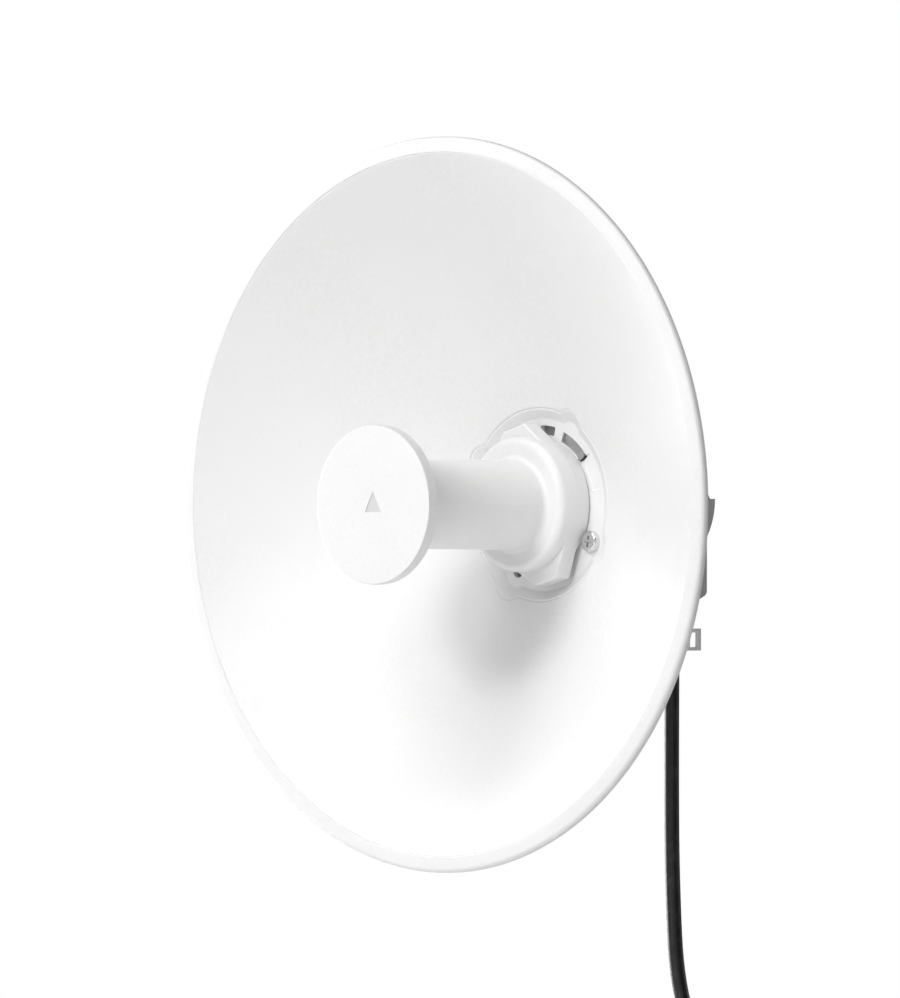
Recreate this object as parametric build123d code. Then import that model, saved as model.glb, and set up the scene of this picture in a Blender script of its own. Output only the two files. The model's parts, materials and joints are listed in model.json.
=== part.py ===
from build123d import *
import math
import os

# Outdoor wireless bridge: a 5 GHz radio with a dish, a splash-plate feed and an offset pole
# mount. Row frame: origin on the axis of the pole at the middle of the clamp, +Z up the pole,
# the dish looking along -Y. The head (dish, feed, radio) is drawn in its own head frame: X to
# the right of the dish's axis, Y behind the plane of the rim, Z up.

# ---------------------------------------------------------------- driving dimensions (mm)
POLE_R = 30.15  # 60.3 mm steel tube
HEAD_X = 112.0  # from the pole's axis to the dish's axis
HEAD_Y = -128.0  # from the pole's axis to the plane of the rim
HEAD = Location((HEAD_X, HEAD_Y, 0))

RIM_R = 177.5
CREASE_R = 169.9  # where the reflecting surface meets the flat rim band
CREASE_Y = -1.65
BAND_T = 2.2
RIM_ROLL = 2.4
DISH_T = 2.5
PAN_R = 46.8  # round recess in the middle of the dish
PAN_EDGE_Y = 66.2
FLOOR_R = 41.9
FLOOR_Y = 69.2
FLOOR_BACK = 71.7
SCREW_RING_R = 37.9  # the lobes and the dish screws sit on this radius
SCREW_ANGLES = (152, 332)
LOBE_ANGLES = (62, 152, 242, 332)
DRAIN_ANGLE = 242  # the fourth lobe drains the recess through an open hole
DRAIN_RING_R = 36.4
DRAIN_R = 3.3
PAN_LOBE_R = 12.4
FLOOR_LOBE_R = 6.8
NECK_R = 28.7  # neck of the radio, which passes through the dish
NECK_HOLE_R = 29.6
PARABOLA_K = (CREASE_R**2 - PAN_R**2) / (PAN_EDGE_Y - CREASE_Y)
PARABOLA_VERTEX = PAN_EDGE_Y + PAN_R**2 / PARABOLA_K

# Openings in the floor of the recess, as (inner radius, outer radius) and (from, to) angles.
LATCH_SLOT_R, LATCH_SLOT_ANGLES = (32.6, 37.8), (38.25, 68.25)
SHORT_SLOT_R, SHORT_SLOT_ANGLES = (33.9, 38.4), (77.25, 92.25)
SHALLOW_R, SHALLOW_ANGLES = (34.5, 39.4), (12.0, 38.25)
SHALLOW_DEPTH = 0.7

LATCH_IN = 33.0
LATCH_OUT = 37.4
LATCH_FRONT = FLOOR_Y + 1.0
LATCH_ROOT = 69.5  # angle of the pin that the latch turns on
LATCH_PIN_Y = FLOOR_BACK + 1.9
LATCH_PIN_R = 0.55
LATCH_T = 0.8

DISC_R = 38.4  # sub-reflector cap
DISC_FRONT = -47.0
DISC_BACK = -41.4
TUBE_R_FRONT = 21.1
TUBE_R_BACK = 22.0
HUB_R = 32.7
HUB_FRONT = 48.7
HUB_BACK = 69.0
WING_FRONT = 56.5
WING_BACK = 65.6
# Each grip on the hub's foot: the angle where its first flank leaves the hub, its two outer
# corners as (x, z), and the angle where its second flank comes back to the hub.
WINGS = (
    (58, (-0.7, 39.0), (-14.5, 35.2), 143),
    (247, (7.5, -39.4), (21.3, -35.6), 339),
)
LUG_ANGLES = (10, 130, 250)  # bayonet lugs on the radio's neck
LUG_HALF = 11
GUIDE_R = 18.2  # circular waveguide, outside
GUIDE_WALL = 0.9
PROBE_BOARD_R = 25.5

RING_BACK = 77.7  # back of the mount ring, front of the tilt bracket
BASE_BACK = 80.7  # back of the tilt bracket's base, front of the radio
BOX_X = 44.5  # half the radio's width
BOX_TOP = 58.0
BOX_BOTTOM = -56.0
BOX_SPLIT = 118.0  # where the two halves of the radio's case meet
BOX_BACK = 132.5
BOX_R = 10.0
WALL = 2.5
GASKET_T = 0.8
POST_X = 37.5
POST_ROWS = (-49.5, 0.0, 51.5)
# The lower right post moves inwards to make room for the cable port.
SCREW_POSTS = [(x, z) for z in POST_ROWS for x in (-POST_X, POST_X) if (x, z) != (POST_X, -49.5)]
SCREW_POSTS.append((17.0, -49.5))
RESET_X, RESET_Y = -18.0, 108.0
LIGHT_X = -4.0
LIGHT_GAP = 7.0
VENT_X = -32.0
GROUND_X, GROUND_Y = 9.0, 100.0
BOARD_Y = 96.0
BOARD_T = 1.6
BOARD_REAR = BOARD_Y + BOARD_T
BOARD_HOLES = [(x, z) for x in (-28.0, 28.0) for z in (-34.0, 34.0)]
CHIP_H = 1.8
JACK_X0, JACK_X1 = 26.0, 41.0
JACK_TOP = -22.5
JACK_BOTTOM = -44.0
FIN_PITCH = 7.0
FIN_DEPTH = 5.5

CHEEK_IN = 45.5  # side cheeks of the tilt bracket
CHEEK_T = 2.5
CHEEK_BACK = 133.7
BOSS_OUT = 53.7
PIVOT_Y = 100.5
PIVOT_Z = 2.8
SECTOR_R = 33.0
LOCK_R = 24.0  # from the pivot to the lock bolt
BOLT_R = 4.0
TILT_LIMIT = 20.0

PLATE_GAP = 0.3  # between the tilt bracket's boss and the pole bracket
PLATE_T = 4.0
PLATE_X1 = HEAD_X - BOSS_OUT - PLATE_GAP  # face of the pole bracket towards the head
PLATE_X0 = PLATE_X1 - PLATE_T
PIVOT = (HEAD_Y + PIVOT_Y, PIVOT_Z)  # Y and Z of the tilt axis in the row frame
SADDLE_HALF = 48.0  # half the saddle's height
BOLT_HEAD_H = 5.3
WASHER_T = 1.6
BAND_Z = 32.0  # the two band clamps sit this far above and below the middle
BAND_W = 12.7
BAND_THICK = 0.8
BAND_ROOM = 0.7  # room left round each band in the casting
PULLEY_X = 31.0  # the bands run round the pole and a small round behind the saddle
PULLEY_R = 6.0
WORM_Y = POLE_R + 2 * BAND_THICK + 4.5
WORM_R = 4.2
WORM_BORE = 4.55

PORT_X = 35.0  # cable port in the radio's lower corner
PORT_Y = 122.7
PORT_R = 8.8
PORT_BOTTOM = -70.8
CABLE_R = 3.65
BOOT_END = -79.5
LOOP_X = 41.0  # right face of the tie loop
LOOP_BACK = 136.8
LOOP_TOP = -60.1

# The free lead hangs in an upright plane through the port: a point is (sideways, height), and
# sideways runs equally along +X and +Y. Spare lead hangs as a tied round coil.
LEAD_X = HEAD_X + PORT_X
LEAD_Y = HEAD_Y + PORT_Y
LEAD_POINTS = [
    (0.0, BOOT_END),
    (-0.25, -128.0),
    (0.1, -182.0),
    (2.6, -236.0),
    (15.0, -268.0),
    (32.0, -289.0),
    (43.0, -311.0),
]
COIL_R = 40.0  # middle of the turns
COIL_BUNDLE_R = 11.2
COIL_Z = -335.0
TIE_W = 11.0
TAIL_SIDE = 43.6  # the free end leaves the coil here, at its right-hand edge
TAIL_DEPTH = -7.6
TAIL_TOP = COIL_Z - 14.0
TAIL_END = COIL_Z - 31.0
PLUG_W = 11.7
PLUG_H = 8.0
PLUG_L = 21.5
PLUG_BOOT_L = 11.0
PLUG_TOP = TAIL_END - PLUG_BOOT_L
CONTACT_PITCH = 1.02
CONTACT_L = 6.5
HALF_DIAGONAL = math.sqrt(0.5)

# ---------------------------------------------------------------- shape helpers
def rod_x(radius, x0, x1, y=0.0, z=0.0):
    return Pos((x0 + x1) / 2, y, z) * Rot(0, 90, 0) * Cylinder(radius, abs(x1 - x0))


def rod_y(radius, y0, y1, x=0.0, z=0.0):
    return Pos(x, (y0 + y1) / 2, z) * Rot(90, 0, 0) * Cylinder(radius, abs(y1 - y0))


def rod_z(radius, z0, z1, x=0.0, y=0.0):
    return Pos(x, y, (z0 + z1) / 2) * Cylinder(radius, abs(z1 - z0))


def block(x0, x1, y0, y1, z0, z1):
    middle = Pos((x0 + x1) / 2, (y0 + y1) / 2, (z0 + z1) / 2)
    return middle * Box(abs(x1 - x0), abs(y1 - y0), abs(z1 - z0))


def turned(*points):
    """A solid turned about the head's axis from a closed outline of (radius, y) points."""
    return revolve(make_face(Polyline(*points, close=True)), Axis.Y)


def sector(r0, r1, y0, y1, a0, a1):
    """Part of a ring about the head's axis, between two angles seen from the front."""
    outline = make_face(Polyline((r0, y0), (r1, y0), (r1, y1), (r0, y1), close=True))
    return Rot(0, -a1, 0) * revolve(outline, Axis.Y, a1 - a0)


def around(angle, radius):
    """X and Z of a point at an angle and radius about the head's axis, seen from the front."""
    turn = math.radians(angle)
    return radius * math.cos(turn), radius * math.sin(turn)


def plate_x(x0, x1, *points):
    """A flat plate facing along X, from a closed outline of (y, z) points."""
    outline = make_face(Polyline(*[(x0, y, z) for y, z in points], close=True))
    return extrude(outline, x1 - x0, dir=(1, 0, 0))


def circles(shape, radius, y):
    """Circular edges of a shape with a given radius, at a given place along Y."""
    edges = shape.edges().filter_by(GeomType.CIRCLE)
    return [e for e in edges if abs(e.radius - radius) < 0.01 and abs(e.center().Y - y) < 0.01]


def back_rounded_box(half_x, y0, y1, z0, z1, radius, front_radius):
    """A box with larger rounds on its two rear upright edges."""
    shape = block(-half_x, half_x, y0, y1, z0, z1)
    upright = shape.edges().filter_by(Axis.Z).sort_by(Axis.Y)
    shape = fillet(upright[2:], radius)
    upright = shape.edges().filter_by(Axis.Z).sort_by(Axis.Y)
    return fillet(upright[:2], front_radius)


def cross_recess(size, depth):
    """A cross-shaped driver recess, opening upwards from z = 0."""
    bar = Box(size, size * 0.26, depth, align=(Align.CENTER, Align.CENTER, Align.MAX))
    return bar + Rot(0, 0, 90) * bar


def pan_screw(shank_r, length, head_r, head_h):
    """A pan-head screw along Z: the head's underside at z = 0, the shank below it."""
    head = Pos(0, 0, head_h / 2) * Cylinder(head_r, head_h)
    head = fillet(head.edges().group_by(Axis.Z)[-1], head_h * 0.55)
    head -= Pos(0, 0, head_h) * cross_recess(head_r * 1.05, head_h * 0.6)
    return head + Pos(0, 0, -length / 2) * Cylinder(shank_r, length)


def hex_prism(across_flats, height):
    return extrude(RegularPolygon(across_flats / 2, 6, major_radius=False), height)


# ---------------------------------------------------------------- dish
def parabola(r):
    """Y of the reflecting surface at radius r."""
    return PARABOLA_VERTEX - r * r / PARABOLA_K


def parabola_edge(r0, r1, shift):
    """An exact arc of the parabola, moved back by shift."""
    middle = PARABOLA_VERTEX - r0 * r1 / PARABOLA_K
    return Bezier(
        (r0, parabola(r0) + shift),
        ((r0 + r1) / 2, middle + shift),
        (r1, parabola(r1) + shift),
    )


def dish_reflector():
    inner_r = 40.0
    back_r = CREASE_R + 1.5
    band_back = CREASE_Y + BAND_T
    roll_y = CREASE_Y + RIM_ROLL
    front = parabola_edge(inner_r, CREASE_R, 0)
    back = parabola_edge(inner_r, back_r, DISH_T)
    band = Line(front @ 1, (RIM_R - RIM_ROLL, CREASE_Y))
    quarter = math.sqrt(0.5)
    roll_middle = (RIM_R - RIM_ROLL + RIM_ROLL * quarter, roll_y - RIM_ROLL * quarter)
    roll = ThreePointArc(band @ 1, roll_middle, (RIM_R, roll_y))
    lip_back = roll_y + 1.6
    lip = Polyline(
        roll @ 1,
        (RIM_R - 0.3, lip_back),
        (RIM_R - 1.9, lip_back),
        (RIM_R - 2.2, band_back),
        (back_r, parabola(back_r) + DISH_T),
    )
    edge = Line(back @ 0, front @ 0)
    shell = revolve(make_face([front, band, roll, lip, back, edge]), Axis.Y)

    collar = 2.4
    pan = rod_y(PAN_R + collar, 58.0, FLOOR_BACK)
    for angle in LOBE_ANGLES:
        x, z = around(angle, SCREW_RING_R)
        pan += rod_y(PAN_LOBE_R + collar, 58.0, FLOOR_BACK, x, z)
    wide = 70.0
    face = parabola_edge(0, wide, 0)
    bowl = revolve(
        make_face([face, Polyline(face @ 1, (wide, 50.0), (0, 50.0), face @ 0)]), Axis.Y
    )
    pan -= bowl
    dish = shell + pan

    reach = 7.0  # the recess's sloping wall runs this far forward of the floor
    flare = (PAN_R - FLOOR_R) / (FLOOR_Y - PAN_EDGE_Y)
    lobe_flare = (PAN_LOBE_R - FLOOR_LOBE_R) / (FLOOR_Y - PAN_EDGE_Y + 0.6)
    middle_y = FLOOR_Y - reach / 2
    dish -= Pos(0, middle_y, 0) * Rot(90, 0, 0) * Cone(FLOOR_R, FLOOR_R + flare * reach, reach)
    for angle in LOBE_ANGLES:
        x, z = around(angle, SCREW_RING_R)
        lobe = Cone(FLOOR_LOBE_R, FLOOR_LOBE_R + lobe_flare * reach, reach)
        dish -= Pos(x, middle_y, z) * Rot(90, 0, 0) * lobe

    dish -= rod_y(NECK_HOLE_R, 60.0, 75.0)
    for angle in SCREW_ANGLES:
        x, z = around(angle, SCREW_RING_R)
        dish -= rod_y(2.75, 60.0, 75.0, x, z)
    dish -= drain_hole()
    dish -= sector(*LATCH_SLOT_R, 60.0, 75.0, *LATCH_SLOT_ANGLES)
    dish -= sector(*SHORT_SLOT_R, 60.0, 75.0, *SHORT_SLOT_ANGLES)
    dish -= sector(*SHALLOW_R, 60.0, FLOOR_Y + SHALLOW_DEPTH, *SHALLOW_ANGLES)
    return dish


def drain_hole():
    """Straight hole through the floor of one lobe and everything behind it."""
    x, z = around(DRAIN_ANGLE, DRAIN_RING_R)
    return rod_y(DRAIN_R, FLOOR_Y - 3, BASE_BACK + 1, x, z)


def mount_ring():
    """Cast ring behind the dish, with the pocket in which the latch moves."""
    ring = rod_y(45.0, FLOOR_BACK, RING_BACK) - rod_y(30.2, FLOOR_BACK, RING_BACK)
    for angle in LOBE_ANGLES:
        x, z = around(angle, SCREW_RING_R)
        ring += rod_y(9.0, FLOOR_BACK, RING_BACK, x, z)
    for angle in SCREW_ANGLES:
        x, z = around(angle, SCREW_RING_R)
        ring -= rod_y(2.7, FLOOR_BACK, RING_BACK, x, z)
    ring -= drain_hole()
    ring -= sector(32.6, 38.6, FLOOR_BACK, FLOOR_BACK + 3.8, 34.0, 74.0)
    ring -= latch_rod(LATCH_PIN_R, 31.6, 39.6)
    ring -= sector(*SHORT_SLOT_R, FLOOR_BACK, FLOOR_BACK + 2.0, *SHORT_SLOT_ANGLES)
    return ring


def dish_screws():
    screws = []
    for angle in SCREW_ANGLES:
        x, z = around(angle, SCREW_RING_R)
        turn = Rot(90, 0, 0) * Rot(0, 0, 20 + angle)
        screws.append(Pos(x, FLOOR_Y, z) * turn * pan_screw(2.4, 11.3, 5.2, 3.1))
    return screws


def latch_rod(radius, r0, r1):
    """A round bar along the latch's radial hinge line, between two radii."""
    x0, z0 = around(LATCH_ROOT, r0)
    x1, z1 = around(LATCH_ROOT, r1)
    run = Vector(x1 - x0, 0, z1 - z0)
    end = Plane(origin=(x0, LATCH_PIN_Y, z0), z_dir=run.normalized())
    return extrude(end * Circle(radius), run.length)


def lock_latch():
    """Steel leaf that fills the dish's long slot, with a hook at its tip; it turns on a pin."""
    front, back = LATCH_FRONT, LATCH_FRONT + LATCH_T
    hook_front = FLOOR_Y - 1.2
    root_front = FLOOR_BACK + 0.7
    latch = sector(LATCH_IN, LATCH_OUT, front, back, 41.5, 66.5)
    latch += sector(LATCH_IN, LATCH_OUT, hook_front, back, 40.0, 41.5)
    latch += sector(LATCH_IN + LATCH_T, LATCH_OUT, hook_front, hook_front + LATCH_T, 39.2, 43.2)
    latch += sector(LATCH_IN, LATCH_OUT, front, root_front + LATCH_T, 65.0, 66.5)
    latch += sector(LATCH_IN, LATCH_OUT, root_front, root_front + LATCH_T, 65.0, LATCH_ROOT)
    latch += latch_rod(1.35, LATCH_IN, LATCH_OUT)
    return latch - latch_rod(LATCH_PIN_R + 0.07, LATCH_IN - 1, LATCH_OUT + 1)


def latch_pin():
    """Pin across the pocket of the mount ring, pressed into its two walls."""
    return latch_rod(LATCH_PIN_R, 31.6, 39.6)


# ---------------------------------------------------------------- feed
def feed_tube():
    """Moulded feed: flange behind the sub-reflector, tapering tube and twist-lock hub."""
    flange_r = DISC_R - 1.8
    body = turned(
        (0, DISC_BACK - 2.0),
        (flange_r, DISC_BACK - 2.0),
        (flange_r, DISC_BACK),
        (TUBE_R_FRONT, DISC_BACK),
        (TUBE_R_BACK, HUB_FRONT),
        (HUB_R, HUB_FRONT),
        (HUB_R, 60.5),
        (HUB_R - 1.0, HUB_BACK),
        (0, HUB_BACK),
    )
    body = fillet(circles(body, TUBE_R_BACK, HUB_FRONT), 2.6)
    body = fillet(circles(body, HUB_R, HUB_FRONT), 3.6)
    for wing in WINGS:
        body += grip_wing(*wing)
    bore = turned(
        (0, DISC_BACK - 3.0),
        (19.0, DISC_BACK - 3.0),
        (19.0, HUB_FRONT + 4.0),
        (27.0, HUB_FRONT + 6.0),
        (27.0, 57.0),
        (NECK_R + 0.3, 57.0),
        (NECK_R + 0.3, HUB_BACK + 1.0),
        (0, HUB_BACK + 1.0),
    )
    body -= bore
    # Bayonet: a turning groove, and three ways in for the lugs of the radio's neck.
    track = sector(NECK_R - 1.0, 30.6, 60.6, 64.4, 0, 360)
    for angle in LUG_ANGLES:
        track += sector(NECK_R - 0.9, 30.4, 62.0, HUB_BACK + 1.0, angle + 22, angle + 46)
    return body - track


def grip_wing(start, first, second, end):
    """One flat grip on the hub's foot, with rounded outer and front edges."""
    flank_r = HUB_R - 1.2
    x0, z0 = around(start, flank_r)
    x1, z1 = around(end, flank_r)
    corners = [(x0, z0), first, second, (x1, z1), (0, 0)]
    face = make_face(Polyline(*[(x, 0, z) for x, z in corners], close=True))
    wing = Pos(0, WING_BACK, 0) * extrude(face, WING_BACK - WING_FRONT, dir=(0, -1, 0))
    tips = [e for e in wing.edges().filter_by(Axis.Y) if math.hypot(e.center().X, e.center().Z) > HUB_R]
    wing = fillet(tips, 1.5)
    return fillet(wing.edges().group_by(Axis.Y)[0], 0.8)


def subreflector_cap():
    cap = rod_y(DISC_R, DISC_FRONT, DISC_BACK)
    rim = cap.edges().filter_by(GeomType.CIRCLE).sort_by(Axis.Y)
    cap = fillet(rim[0], 0.7)
    cap -= rod_y(DISC_R - 1.7, DISC_FRONT + 1.6, DISC_BACK + 1.0)
    # A shallow upright arrow shows which way up the feed goes.
    arrow = make_face(Polyline((-5.5, 0, -3.5), (5.5, 0, -3.5), (0, 0, 6.5), close=True))
    cap -= Pos(0, DISC_FRONT + 0.35, 0) * extrude(arrow, 2.0, dir=(0, -1, 0))
    return cap


def subreflector_plate():
    """Metal splash plate with a small cone on its axis."""
    front = DISC_FRONT + 1.7
    back = DISC_BACK - 2.05
    edge = DISC_R - 2.2
    return turned((0, front), (edge, front), (edge, back), (11.0, back), (0, back + 7.0))


def feed_spacer():
    """Plastic collar that centres the waveguide behind the splash plate."""
    front = DISC_BACK - 1.9
    return turned(
        (12.5, front),
        (18.7, front),
        (18.7, -22.0),
        (GUIDE_R - GUIDE_WALL - 0.3, -22.0),
        (GUIDE_R - GUIDE_WALL - 0.3, -12.0),
        (11.5, -12.0),
        (11.5, -30.0),
    )


def waveguide():
    outside = rod_y(GUIDE_R, -21.5, 63.0)
    flange = rod_y(PROBE_BOARD_R, 60.8, 63.0)
    return outside + flange - rod_y(GUIDE_R - GUIDE_WALL, -22.0, 64.0)


def probe_board():
    """Round circuit board with the two crossed feed probes."""
    board = rod_y(PROBE_BOARD_R, 63.1, 64.7)
    for angle in (45, 135):
        x, z = around(angle, 7.0)
        board += rod_y(0.6, 50.0, 63.1, x, z)
    return board


def backshort():
    """Metal cup that closes the waveguide behind the probes."""
    return rod_y(21.0, 64.8, 74.0) - rod_y(18.5, 64.8, 72.6)


def feed_seal():
    return rod_y(28.3, 57.1, 58.6) - rod_y(26.2, 57.1, 58.6)


# ---------------------------------------------------------------- radio
def case_shell(y0, y1, inner_y0, inner_y1):
    shell = back_rounded_box(BOX_X, y0, BOX_BACK, BOX_BOTTOM, BOX_TOP, BOX_R, 4.0)
    bottom, top = BOX_BOTTOM + WALL, BOX_TOP - WALL
    shell -= back_rounded_box(BOX_X - WALL, inner_y0, inner_y1, bottom, top, BOX_R - 3.5, 2.0)
    return shell & block(-60, 60, y0, y1, -80, 80)


def front_case():
    """Front half of the radio's case, with the neck that goes through the dish."""
    case = case_shell(BASE_BACK, BOX_SPLIT, BASE_BACK + WALL, BOX_BACK - WALL)
    case += rod_y(NECK_R, 58.8, BASE_BACK + WALL)
    for x, z in SCREW_POSTS:
        case += rod_y(4.4, BASE_BACK + WALL - 0.5, BOX_SPLIT, x, z)
        case -= rod_y(1.3, BOX_SPLIT - 12.0, BOX_SPLIT, x, z)
    case -= rod_y(NECK_R - 2.4, 58.0, BASE_BACK + WALL + 4.0)
    for angle in LUG_ANGLES:
        case += sector(NECK_R - 1.0, 30.2, 61.0, 64.0, angle - LUG_HALF, angle + LUG_HALF)
    case -= bottom_hole(3.2, RESET_X, RESET_Y)
    for step in (-1, 0, 1):
        case -= bottom_hole(1.4, LIGHT_X + step * LIGHT_GAP, RESET_Y)
    case -= bottom_hole(4.0, VENT_X, RESET_Y)
    case -= bottom_hole(2.0, GROUND_X, GROUND_Y)
    return case - port_hole()


def bottom_hole(radius, x, y):
    """A hole through the wall of the case's underside."""
    return rod_z(radius, BOX_BOTTOM - 1, BOX_BOTTOM + WALL + 1, x, y)


def port_hole():
    return bottom_hole(7.4, PORT_X, PORT_Y)


def case_gasket():
    ring = case_shell(BOX_SPLIT, BOX_SPLIT + GASKET_T, BASE_BACK, BOX_BACK - WALL)
    return ring - port_hole()


def rear_case():
    """Rear half of the case: cooling fins outside, bosses for the case screws inside."""
    start = BOX_SPLIT + GASKET_T
    case = case_shell(start, BOX_BACK, BASE_BACK, BOX_BACK - WALL)
    for x, z in SCREW_POSTS:
        case += rod_y(4.4, start, BOX_BACK - WALL + 0.5, x, z)
    # Fins are left between grooves in the thick back wall.
    case += block(-26, 26, BOX_BACK - WALL - 5.0, BOX_BACK - WALL + 0.1, -40, 44)
    for step in range(-3, 4):
        middle = step * FIN_PITCH
        case -= block(middle - 2.2, middle + 2.2, BOX_BACK - FIN_DEPTH, BOX_BACK + 1, -38, 42)
    for x, z in SCREW_POSTS:
        case -= rod_y(1.75, start - 1, BOX_BACK + 1, x, z)
        case -= rod_y(3.3, BOX_BACK - 2.6, BOX_BACK + 1, x, z)
    return case - port_hole()


def case_screws():
    screws = []
    for x, z in SCREW_POSTS:
        seat = Pos(x, BOX_BACK - 2.6, z) * Rot(-90, 0, 0)
        screws.append(seat * pan_screw(1.25, 20.0, 2.9, 2.2))
    return screws


def main_board():
    board = block(-40, 40, BOARD_Y, BOARD_REAR, -44, 46)
    for x, z in SCREW_POSTS:
        board -= rod_y(5.0, BOARD_Y - 1, BOARD_REAR + 1, x, z)
    for x, z in BOARD_HOLES:
        board -= rod_y(1.6, BOARD_Y - 1, BOARD_REAR + 1, x, z)
    return board


def board_posts():
    """Four hexagonal spacers from the case's front wall to the board."""
    posts = []
    for x, z in BOARD_HOLES:
        start = BASE_BACK + WALL
        post = Rot(-90, 0, 0) * hex_prism(5.5, BOARD_Y - start)
        posts.append(Pos(x, start, z) * post)
    return posts


def board_screws():
    screws = []
    for x, z in BOARD_HOLES:
        seat = Pos(x, BOARD_REAR, z) * Rot(-90, 0, 0)
        screws.append(seat * pan_screw(1.4, BOARD_T, 2.7, 1.8))
    return screws


def shield_cans():
    """Stamped shields over the two radio chains, on the board's rear."""
    cans = []
    for z0, z1 in ((2, 24), (26, 44)):
        can = block(-22, 20, BOARD_REAR, BOARD_REAR + 4.0, z0, z1)
        can -= block(-21.7, 19.7, BOARD_REAR, BOARD_REAR + 3.7, z0 + 0.3, z1 - 0.3)
        cans.append(can)
    return cans


def processor():
    return block(-12, 6, BOARD_REAR, BOARD_REAR + CHIP_H, -22, -4)


def thermal_pad():
    """Soft pad that carries the processor's heat to the finned back."""
    return block(-12, 6, BOARD_REAR + CHIP_H, BOX_BACK - WALL - 5.0, -22, -4)


def ethernet_jack():
    """Board-edge socket that takes the plug from below."""
    jack = block(JACK_X0, JACK_X1, 112.5, 127.0, JACK_BOTTOM, JACK_TOP)
    rear_edges = jack.edges().filter_by(Axis.Z).sort_by(Axis.Y)[2:]
    jack = fillet(rear_edges.sort_by(Axis.X)[-1], 3.2)
    jack -= block(JACK_X0 + 2.2, JACK_X1 - 1.2, 117.2, 125.4, JACK_BOTTOM - 1, JACK_TOP - 3.5)
    return jack


def jack_board():
    """Small board that carries the socket, with its pins to the main board."""
    board = block(24.5, 41.5, 110.9, 112.4, -44, -20)
    for step in range(6):
        x = 26.5 + step * 2.54
        board += block(x - 0.3, x + 0.3, BOARD_REAR, 110.9, -24.3, -23.7)
    return board


def light_pipes():
    pipes = []
    for step in (-1, 0, 1):
        x = LIGHT_X + step * LIGHT_GAP
        pipe = rod_z(1.3, BOX_BOTTOM - 0.6, -46.0, x, RESET_Y)
        pipe += block(x - 1.3, x + 1.3, BOARD_REAR + 0.8, RESET_Y + 1.3, -48.6, -46.0)
        pipes.append(pipe)
    return pipes


def reset_button():
    """Cap and stem of the reset button; it moves up by one millimetre."""
    inside = BOX_BOTTOM + WALL
    cap = rod_z(3.1, BOX_BOTTOM - 1.4, inside + 0.3, RESET_X, RESET_Y)
    stop = rod_z(4.3, inside + 0.05, inside + 1.2, RESET_X, RESET_Y)
    stem = rod_z(1.4, inside + 1.0, -47.6, RESET_X, RESET_Y)
    return cap + stop + stem


def reset_switch():
    """Tactile switch above the reset button's stem, on an angle bracket from the board."""
    body = block(RESET_X - 3, RESET_X + 3, RESET_Y - 3, RESET_Y + 3, -46.5 + 1.3, -41.0)
    foot = block(RESET_X - 3, RESET_X + 3, BOARD_REAR, RESET_Y + 3, -41.0, -40.2)
    return body + foot


def vent_plug():
    """Breathing plug in the bottom of the case."""
    plug = rod_z(3.9, BOX_BOTTOM, BOX_BOTTOM + WALL, VENT_X, RESET_Y)
    head = rod_z(6.0, BOX_BOTTOM - 3.0, BOX_BOTTOM, VENT_X, RESET_Y)
    head = fillet(head.edges().group_by(Axis.Z)[0], 1.0)
    for angle in range(0, 180, 45):
        slit = Pos(VENT_X, RESET_Y, BOX_BOTTOM - 1.6) * Rot(0, 0, angle) * Box(13, 1.0, 0.9)
        head -= slit
    return plug + head


def ground_screw():
    seat = Pos(GROUND_X, GROUND_Y, BOX_BOTTOM) * Rot(180, 0, 0)
    return seat * pan_screw(1.9, 5.0, 4.2, 2.6)


# ---------------------------------------------------------------- cable port
def gland_body():
    """Screwed collar of the cable port, with a loop on its side for a cable tie."""
    collar = rod_z(PORT_R, PORT_BOTTOM, BOX_BOTTOM, PORT_X, PORT_Y)
    collar += rod_z(7.3, BOX_BOTTOM, BOX_BOTTOM + WALL, PORT_X, PORT_Y)
    loop = block(LOOP_X - 2, LOOP_X, PORT_Y + 5.0, LOOP_BACK, PORT_BOTTOM, LOOP_TOP)
    loop -= block(LOOP_X - 3, LOOP_X + 1, PORT_Y + 5.0, LOOP_BACK - 2.0, -69.1, -62.0)
    collar += loop
    collar -= rod_z(6.3, PORT_BOTTOM - 1, -61.0, PORT_X, PORT_Y)
    collar -= rod_z(4.4, -62.0, BOX_BOTTOM + 10, PORT_X, PORT_Y)
    return collar


def gland_seal():
    """Split rubber grommet squeezed round the cable."""
    return rod_z(6.2, -66.5, -61.1, PORT_X, PORT_Y) - rod_z(CABLE_R, -67, -61, PORT_X, PORT_Y)


def gland_nut():
    nut = rod_z(6.2, PORT_BOTTOM - 1.0, -66.6, PORT_X, PORT_Y)
    return nut - rod_z(CABLE_R + 0.2, PORT_BOTTOM - 2, -66, PORT_X, PORT_Y)


def cable_boot():
    """Tapered strain relief round the cable, below the nut."""
    top = PORT_BOTTOM - 1.05
    boot = Pos(PORT_X, PORT_Y, (top + BOOT_END) / 2) * Cone(4.3, 5.6, top - BOOT_END)
    for step in range(3):
        z = BOOT_END + 2.0 + step * 2.1
        boot -= rod_z(7.0, z, z + 0.7, PORT_X, PORT_Y) - rod_z(4.35, z, z + 0.7, PORT_X, PORT_Y)
    return boot - rod_z(CABLE_R, BOOT_END - 1, top + 1, PORT_X, PORT_Y)


def inner_lead():
    """The end of the lead inside the case, from the boot up to the plug in the socket."""
    return rod_z(CABLE_R, BOOT_END, -48.0, PORT_X, PORT_Y)


def inner_plug():
    """Clear modular plug on the lead's inner end, seated in the socket."""
    x0, x1 = JACK_X0 + 2.3, JACK_X1 - 1.3
    return block(x0, x1, 117.3, 125.3, -48.0, JACK_TOP - 3.6)


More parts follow.
